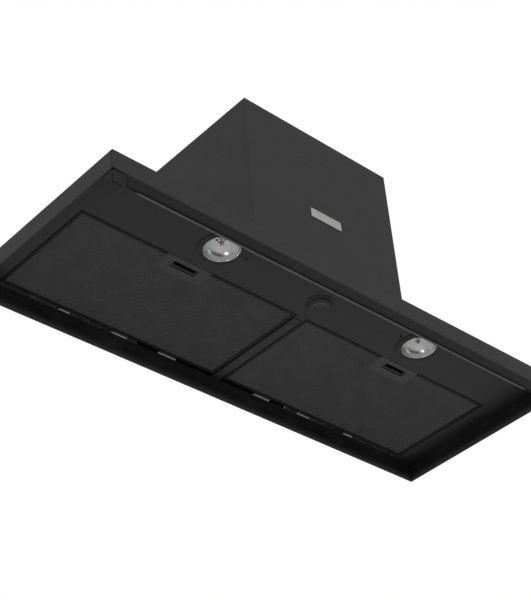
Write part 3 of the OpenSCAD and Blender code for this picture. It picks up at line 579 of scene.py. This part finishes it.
# Spotlights ------------------------------------------------------------------------------------
# A halogen capsule stands in a vacuum-metallised bowl with fine moulded ribs, behind a
# stepped black ring pressed into the tray, with a galvanised can and lamp holder above.
chrome = finish("metallised bowl", (0.74, 0.74, 0.74), (0.86, 0.86, 0.85), 0.24,
                grain=0.5 * MM, relief=0.003 * MM, cloud=9 * MM, metallic=1.0)
# The capsule glass is tinted warm as a painted glow; the lamp itself is off and gives no light.
quartz = bpy.data.materials.new("quartz glass tinted as painted glow")
quartz.use_nodes = True
quartz_shader = quartz.node_tree.nodes["Principled BSDF"]
quartz_shader.inputs["Base Color"].default_value = (1.0, 0.95, 0.80, 1)
quartz_shader.inputs["Transmission Weight"].default_value = 0.9
quartz_shader.inputs["Roughness"].default_value = 0.06
quartz_shader.inputs["IOR"].default_value = 1.46
# The filament's warm copper colour is a painted glow, not the colour of its metal.
filament_painted_glow = finish("filament tinted as painted glow", (0.45, 0.30, 0.16), (0.60, 0.44, 0.26), 0.4, grain=0.2 * MM,
                  metallic=0.8)
ceramic = finish("lamp holder ceramic", (0.55, 0.51, 0.43), (0.70, 0.66, 0.57), 0.6,
                 grain=0.5 * MM, relief=0.02 * MM)
bowl_steps, bowl_turns, rib_count = 18, 96, 24
bowl_wall, bowl_skin, rib_depth = 0.8 * MM, 0.7 * MM, 0.03 * MM
bowl_arc = radians(72)
glass_r, pinch_h = 4.5 * MM, 5.2 * MM
filament_r, filament_wire = 1.0 * MM, 0.22 * MM
for side in ("left", "right"):
    ring_low, ring_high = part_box(f"lamp_bezel_{side}")
    bowl_low, bowl_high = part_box(f"lamp_reflector_{side}")
    middle = (ring_low + ring_high) / 2
    centre = Vector((middle.x, middle.y, 0))
    ring_r = (ring_high.x - ring_low.x) / 2
    mouth_r = (bowl_high.x - bowl_low.x) / 2 - 1.0 * MM
    ring_outline = [(mouth_r + 1.2 * MM, ring_low.z + 0.9 * MM), (mouth_r + 2.2 * MM, ring_low.z + 0.2 * MM),
                    (mouth_r + 3.0 * MM, ring_low.z + 0.2 * MM), (mouth_r + 3.6 * MM, ring_low.z + 0.8 * MM),
                    (mouth_r + 5.6 * MM, ring_low.z + 0.8 * MM), (mouth_r + 6.4 * MM, ring_low.z),
                    (ring_r - 1.4 * MM, ring_low.z), (ring_r, ring_low.z + 0.9 * MM),
                    (ring_r, ring_high.z), (mouth_r + 1.2 * MM, ring_high.z)]
    ring = turned(f"lamp_ring_{side}", rounded(ring_outline, 0.25 * MM), centre, steps=96)
    settle(ring, "hood", "black_plastic", moulded_black, f"lamp_bezel_{side}")

    bowl = bmesh.new()
    depth = bowl_high.z - bowl_low.z - bowl_wall
    inside, outside = [], []
    for row in range(bowl_steps + 1):
        lift = bowl_arc * row / bowl_steps
        rise = sin(pi * row / bowl_steps)
        for store, extra in ((inside, 0), (outside, bowl_skin)):
            z = bowl_low.z + (depth + extra) * sin(lift)
            store.append([])
            for k in range(bowl_turns):
                turn = tau * k / bowl_turns
                rib = rib_depth * rise * cos(rib_count * turn) if store is inside else 0
                r = (mouth_r + extra) * cos(lift) - rib_depth - rib
                store[-1].append(bowl.verts.new(centre + Vector((r * cos(turn), r * sin(turn), z))))
    for store in (inside, outside):
        for low_row, high_row in zip(store, store[1:]):
            for k in range(bowl_turns):
                n = (k + 1) % bowl_turns
                bowl.faces.new((low_row[k], low_row[n], high_row[n], high_row[k]))
    for edge in (0, bowl_steps):
        for k in range(bowl_turns):
            n = (k + 1) % bowl_turns
            bowl.faces.new((inside[edge][k], inside[edge][n], outside[edge][n], outside[edge][k]))
    settle(mesh_piece(f"lamp_bowl_{side}", bowl, True), "hood", "reflector", chrome,
           f"lamp_reflector_{side}")

    glass_low, glass_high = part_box(f"lamp_capsule_{side}")
    base_r = (glass_high.x - glass_low.x) / 2
    tip = [(glass_r * sin(a), glass_low.z + glass_r * (1 - cos(a)))
           for a in (k * pi / 16 for k in range(9))]
    glass_outline = tip + [(glass_r, glass_high.z - 7 * MM), (glass_r * 0.7, glass_high.z - pinch_h),
                           (0, glass_high.z - pinch_h)]
    glass = turned(f"lamp_glass_{side}", glass_outline, centre, steps=32)
    settle(glass, "hood", "lamp_glass", quartz, f"lamp_capsule_{side}")
    coil = bpy.data.curves.new("filament", "CURVE")
    coil.dimensions = "3D"
    coil.bevel_depth = filament_wire
    wire = coil.splines.new("POLY")
    turns, per_turn = 6, 10
    wire.points.add(turns * per_turn)
    for k in range(turns * per_turn + 1):
        turn = tau * k / per_turn
        wire.points[k].co = (*(centre + Vector((filament_r * cos(turn), filament_r * sin(turn),
                                                glass_low.z + (4 + 0.11 * k) * MM))), 1)
    filament = bpy.data.objects.new(f"lamp_filament_{side}", coil)
    room.collection.objects.link(filament)
    settle(applied(filament), "hood", "bright_steel", filament_painted_glow)
    holder = turned(f"lamp_holder_{side}", rounded(
        [(0, glass_high.z - 5.1 * MM), (base_r, glass_high.z - 5.1 * MM), (base_r, glass_high.z),
         (0, glass_high.z)], 0.6 * MM), centre, steps=32)
    settle(holder, "hood", "pale_plastic", ceramic)

    can_low, can_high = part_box(f"lamp_can_{side}")
    can_r = (can_high.x - can_low.x) / 2
    can_outline = [(can_r, can_low.z), (can_r, can_high.z - 6 * MM), (can_r - 4 * MM, can_high.z - 1 * MM),
                   (can_r - 12 * MM, can_high.z), (0, can_high.z), (0, can_high.z - 1.2 * MM),
                   (can_r - 13 * MM, can_high.z - 1.2 * MM), (can_r - 5.2 * MM, can_high.z - 2.4 * MM),
                   (can_r - 0.8 * MM, can_high.z - 7 * MM), (can_r - 0.8 * MM, can_low.z)]
    can = turned(f"lamp_can_shell_{side}", rounded(can_outline, 1.2 * MM), centre, steps=72)
    settle(can, "hood", "galvanised", zinc, f"lamp_can_{side}")

# Speed control ------------------------------------------------------------------------------
# A moulded knob with a shallow finger dish and a fluted edge turns a rotary switch under
# the tray's top plate; a plain black ring trims its hole.
knob_low, knob_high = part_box("knob")
trim_low, trim_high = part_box("knob_bezel")
knob_centre = Vector(((trim_low.x + trim_high.x) / 2, (trim_low.y + trim_high.y) / 2, 0))
trim_r = (trim_high.x - trim_low.x) / 2
knob_r = (knob_high.x - knob_low.x) / 2
trim = turned("knob_trim_ring", rounded(
    [(knob_r + 0.4 * MM, trim_high.z), (knob_r + 0.4 * MM, trim_low.z + 0.3 * MM),
     (knob_r + 1.3 * MM, trim_low.z), (trim_r - 1.6 * MM, trim_low.z + 0.4 * MM),
     (trim_r, trim_high.z - 0.4 * MM), (trim_r, trim_high.z)], 0.4 * MM), knob_centre, steps=96)
settle(trim, "hood", "black_plastic", moulded_black, "knob_bezel")

knob_gloss = finish("knob plastic", (0.016, 0.016, 0.016), (0.024, 0.024, 0.024), 0.36,
                    grain=0.4 * MM, relief=0.005 * MM)
flute_count = 40
dish = bmesh.new()
knob_steps = 4 * flute_count
skirt_top = trim_high.z - 0.5 * MM
dish_rings = [(0.0, 1.95), (3.5, 1.85), (6.5, 1.45), (9.0, 0.75), (10.6, 0.15), (11.5, 0.0),
              (12.5, 0.15), (14.4, 1.0), (16.2, 2.0), (16.8, 2.6), (17.0, 3.2)]
rings = []
for r, rise in dish_rings + [(17.0, None)]:
    z = skirt_top if rise is None else knob_low.z + rise * MM
    ring = []
    for k in range(knob_steps):
        turn = tau * k / knob_steps
        flute = 0.35 * MM * (0.5 + 0.5 * cos(flute_count * turn)) if r >= 17.0 else 0.0
        ring.append(dish.verts.new(knob_centre + Vector(((r * MM - flute) * cos(turn),
                                                         (r * MM - flute) * sin(turn), z))))
    rings.append(ring)
for inner, outer in zip(rings, rings[1:]):
    for k in range(knob_steps):
        n = (k + 1) % knob_steps
        dish.faces.new((inner[k], inner[n], outer[n], outer[k]))
dish.faces.new(rings[-1])
bmesh.ops.remove_doubles(dish, verts=dish.verts, dist=0.001 * MM)
bmesh.ops.dissolve_degenerate(dish, edges=dish.edges, dist=0.001 * MM)
knob = mesh_piece("speed_knob_cap", dish, True)
smooth_cap = knob.modifiers.new("flat faces", "WEIGHTED_NORMAL")
smooth_cap.weight = 60
knob = applied(knob)
settle(knob, "speed_knob", "knob_plastic", knob_gloss, "knob")
shaft_r = 3 * MM
shaft = turned("speed_knob_shaft", rounded(
    [(0, skirt_top - 0.5 * MM), (shaft_r, skirt_top - 0.5 * MM), (shaft_r, knob_high.z),
     (0, knob_high.z)], 0.3 * MM), knob_centre, steps=32)
settle(shaft, "speed_knob", "knob_plastic", knob_gloss)
mark = turned("speed_knob_mark", rounded([(0, 0), (1.1 * MM, 0), (1.1 * MM, 0.5 * MM), (0, 0.5 * MM)],
                                         0.15 * MM),
              knob_centre + Vector((14 * MM, 0, knob_low.z + 0.12 * MM)), steps=24)
settle(mark, "speed_knob", "knob_plastic", moulded_black)

switch_plastic = finish("pale moulded plastic", (0.60, 0.58, 0.52), (0.70, 0.68, 0.62), 0.48,
                        grain=0.6 * MM, relief=0.01 * MM)
eased("speed_switch", switch_plastic, 0.8 * MM, 3, "body")

# Blower ---------------------------------------------------------------------------------------
# A double-inlet fan: a galvanised scroll with a square outlet, a moulded drum of curved
# blades on a steel shaft, and a die-cast motor that hangs in one inlet from a steel bracket.
for casing in ("scroll_casing", "outlet_adapter"):
    eased(casing, zinc, 0.4 * MM)
for bracket in ("blower_brackets", "motor_bracket"):
    eased(bracket, zinc, 0.3 * MM, title="pressing")
eased("motor_shaft", bright_steel, 0.4 * MM, title="rod")

drum_low, drum_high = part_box("impeller")
drum_r = (drum_high.y - drum_low.y) / 2
drum_half = (drum_high.x - drum_low.x) / 2
drum_y, drum_z = (drum_low.y + drum_high.y) / 2, (drum_low.z + drum_high.z) / 2
drum_plastic = finish("glass-filled plastic", (0.022, 0.023, 0.025), (0.040, 0.042, 0.045), 0.5,
                      grain=0.6 * MM, relief=0.02 * MM)
drum = bmesh.new()
blade_count, blade_steps = 28, 6
blade_in, blade_out, blade_thick = drum_r - 12.5 * MM, drum_r - 1.6 * MM, 0.9 * MM
for blade in range(blade_count):
    base = tau * blade / blade_count
    sections = []
    for step in range(blade_steps + 1):
        t = step / blade_steps
        r = blade_in + (blade_out - blade_in) * t
        turn = base + radians(11) * t ** 1.8
        thick = blade_thick / r / 2
        points = []
        for x in (-drum_half + 1 * MM, drum_half - 1 * MM):
            for a in (turn - thick, turn + thick):
                points.append(drum.verts.new((x, r * cos(a), r * sin(a))))
        sections.append(points)
    for a, b in zip(sections, sections[1:]):
        for i, j in ((0, 1), (1, 3), (3, 2), (2, 0)):
            drum.faces.new((a[i], a[j], b[j], b[i]))
    drum.faces.new([sections[0][i] for i in (0, 2, 3, 1)])
    drum.faces.new([sections[-1][i] for i in (0, 1, 3, 2)])
blades = mesh_piece("fan_blades", drum, False)
blades.data.transform(Matrix.Translation((0, drum_y, drum_z)))
fan_centre = Vector((0, drum_y, drum_z))
end_ring = rounded([(drum_r - 13 * MM, 0), (drum_r - 0.4 * MM, 0), (drum_r, 0.5 * MM), (drum_r, 2 * MM),
                    (drum_r - 13 * MM, 2 * MM)], 0.4 * MM)
wheel = [blades]
for x in (-drum_half, drum_half - 2 * MM):
    wheel.append(turned("end_ring", end_ring, fan_centre + Vector((x, 0, 0)), (1, 0, 0), 96))
hub = rounded([(4.02 * MM, -8 * MM), (9 * MM, -8 * MM), (10 * MM, -1.5 * MM), (24 * MM, -0.9 * MM),
               (drum_r - 13 * MM, -0.8 * MM), (drum_r - 1 * MM, -0.8 * MM),
               (drum_r - 1 * MM, 0.8 * MM), (10 * MM, 0.8 * MM), (10 * MM, 2 * MM),
               (4.02 * MM, 2 * MM)], 0.5 * MM)
wheel.append(turned("hub", hub, fan_centre, (1, 0, 0), 96))
settle(joined("fan_drum", wheel), "fan", "impeller_plastic", drum_plastic, "impeller")

motor_low, motor_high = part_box("motor")
motor_r = (motor_high.y - motor_low.y) / 2
motor_len = motor_high.x - motor_low.x
cast = finish("die-cast alloy", (0.34, 0.34, 0.35), (0.48, 0.48, 0.49), 0.45, grain=0.7 * MM,
              relief=0.03 * MM, metallic=0.75)
body_start, body_end = 3 * MM, motor_len - 3 * MM
fins = []
fin_count = 7
fin_pitch = (body_end - body_start) / (2 * fin_count + 1)
for k in range(2 * fin_count + 1):
    h = body_start + k * fin_pitch
    r = motor_r if k % 2 == 0 else motor_r - 2.5 * MM
    fins += [(r, h), (r, h + fin_pitch)]
motor_outline = [(4.3 * MM, 0), (12 * MM, 0), (12 * MM, 2.6 * MM), (motor_r - 3 * MM, 2.8 * MM)] + fins
motor_outline += [(28 * MM, body_end), (28 * MM, motor_len), (0, motor_len), (0, motor_len - 3 * MM),
                  (4.3 * MM, motor_len - 3.5 * MM)]
motor = turned("motor_casting", rounded(motor_outline, 0.6 * MM, 2),
               (motor_low.x, drum_y, drum_z), (1, 0, 0), 72)
settle(motor, "hood", "motor_casing", cast, "motor")

bush_low, bush_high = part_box("blower_bushes")
rubber = finish("soft black rubber", (0.014, 0.014, 0.014), (0.022, 0.022, 0.022), 0.72,
                grain=0.5 * MM, relief=0.02 * MM)
bush_r = (bush_high.z - bush_low.z) / 2
scroll_low, scroll_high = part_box("scroll_casing")
bush_len = bush_high.x - scroll_high.x
waisted = rounded([(0, 0), (bush_r, 0), (bush_r, bush_len * 0.3), (bush_r * 0.75, bush_len * 0.4),
                   (bush_r * 0.75, bush_len * 0.6), (bush_r, bush_len * 0.7), (bush_r, bush_len),
                   (0, bush_len)], 0.5 * MM)
bushes = []
for x, way in ((scroll_high.x, 1), (scroll_low.x, -1)):
    for y in (bush_low.y + bush_r, bush_high.y - bush_r):
        bushes.append(turned("bush", waisted, (x, y, bush_low.z + bush_r), (way, 0, 0), 32))
settle(joined("blower_bush_set", bushes), "hood", "rubber", rubber, "blower_bushes")

# Electrical pieces --------------------------------------------------------------------------
# A drawn aluminium run capacitor, and a moulded box that holds a terminal strip and a small
# transformer of varnished laminations; two silicone leads run from the box to the lamps.
can_metal = finish("drawn aluminium", (0.55, 0.55, 0.56), (0.68, 0.68, 0.69), 0.3, grain=0.5 * MM,
                   relief=0.004 * MM, metallic=0.95, stretch=(0.1, 1, 1))
cell_low, cell_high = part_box("capacitor")
cell_r, saddle_half, saddle_x, saddle_len = 15 * MM, 17 * MM, -108 * MM, 24 * MM
cell_y = (cell_low.y + cell_high.y) / 2
cell_z = cell_high.z - cell_r
cell_len = cell_high.x - cell_low.x
can_end = cell_len - 6 * MM
cell = turned("capacitor_can_body", rounded(
    [(0, 0), (cell_r - 1 * MM, 0), (cell_r, 1 * MM), (cell_r, can_end - 5 * MM),
     (cell_r - 1 * MM, can_end - 4 * MM), (cell_r, can_end - 3 * MM), (cell_r, can_end - 0.4 * MM),
     (cell_r - 1.4 * MM, can_end), (6 * MM, can_end), (6 * MM, cell_len), (0, cell_len)], 0.7 * MM),
    (cell_low.x, cell_y, cell_z), (1, 0, 0), 64)
settle(cell, "hood", "capacitor_can", can_metal, "capacitor")
saddle_side = [(saddle_half, 3 * MM), (13 * MM, cell_z - 6 * MM - cell_low.z),
               (8 * MM, cell_z - 12.4 * MM - cell_low.z)]
saddle = prism("capacitor_saddle", rounded(
    [(cell_y - saddle_half, cell_low.z), (cell_y + saddle_half, cell_low.z)]
    + [(cell_y + out, cell_low.z + up) for out, up in saddle_side]
    + [(cell_y - out, cell_low.z + up) for out, up in reversed(saddle_side)], 1 * MM), saddle_len)
saddle.data.transform(Matrix.Translation((saddle_x, 0, 0))
                      @ Matrix(((0, 0, 1, 0), (1, 0, 0, 0), (0, 1, 0, 0), (0, 0, 0, 1))))
settle(round_edges(saddle, 0.4 * MM), "hood", "pale_plastic", switch_plastic)

for moulding in ("control_box", "control_box_lid", "terminal_block"):
    eased(moulding, switch_plastic, 0.6 * MM, 3, "moulding")

core_low, core_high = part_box("transformer")
core_paint = finish("varnished laminations", (0.07, 0.045, 0.03), (0.16, 0.10, 0.06), 0.35,
                    grain=0.4 * MM, relief=0.05 * MM, metallic=0.3, stretch=(1, 0.04, 0.04))
winding_paint = finish("taped winding", (0.42, 0.30, 0.06), (0.55, 0.42, 0.12), 0.4,
                       grain=0.8 * MM, relief=0.03 * MM)
core_inset, lamination_pitch = 6 * MM, 1.1 * MM
winding_inset, winding_h = 8 * MM, 22 * MM
core = bmesh.new()
lamination_y = core_low.y + core_inset
while lamination_y < core_high.y - core_inset - 0.5 * lamination_pitch:
    plate = rectangle(core_low.x, core_low.z, core_high.x, core_high.z)
    back = [core.verts.new((x, lamination_y + lamination_pitch * 0.8, z)) for x, z in plate]
    front = [core.verts.new((x, lamination_y, z)) for x, z in plate]
    core.faces.new(front)
    core.faces.new(reversed(back))
    for i in range(4):
        j = (i + 1) % 4
        core.faces.new((front[i], back[i], back[j], front[j]))
    lamination_y += lamination_pitch
settle(mesh_piece("transformer_core_stack", core), "hood", "transformer_core", core_paint, "transformer")
winding = prism("transformer_winding", rounded(
    rectangle(core_low.x + winding_inset, core_low.y, core_high.x - winding_inset, core_high.y),
    5 * MM, 5), winding_h)
winding.data.transform(Matrix.Translation((0, 0, core_low.z + winding_inset)))
settle(round_edges(winding, 1.2 * MM, 3), "hood", "transformer_core", winding_paint)

eased("cable_gland", moulded_black, 0.5 * MM, 3, "nut")
sheath = finish("white silicone sheath", (0.55, 0.55, 0.54), (0.66, 0.66, 0.65), 0.55,
                grain=0.7 * MM, relief=0.01 * MM)
eased("lamp_leads", sheath, 0.05 * MM, 1, "sheath")

# Fasteners ------------------------------------------------------------------------------------
# Pan-head screws with cross recesses: black ones hold the housing to the tray, and zinc-plated
# ones hold the collar to the housing's top and the motor's bracket to the scroll.
black_zinc = finish("black zinc plating", (0.010, 0.010, 0.011), (0.022, 0.022, 0.024), 0.4,
                    grain=0.4 * MM, relief=0.004 * MM, metallic=0.6)
eased("housing_screws", black_zinc, 0.25 * MM, title="heads")
for screws in ("collar_screws", "blower_screws"):
    eased(screws, bright_steel, 0.25 * MM, title="heads")
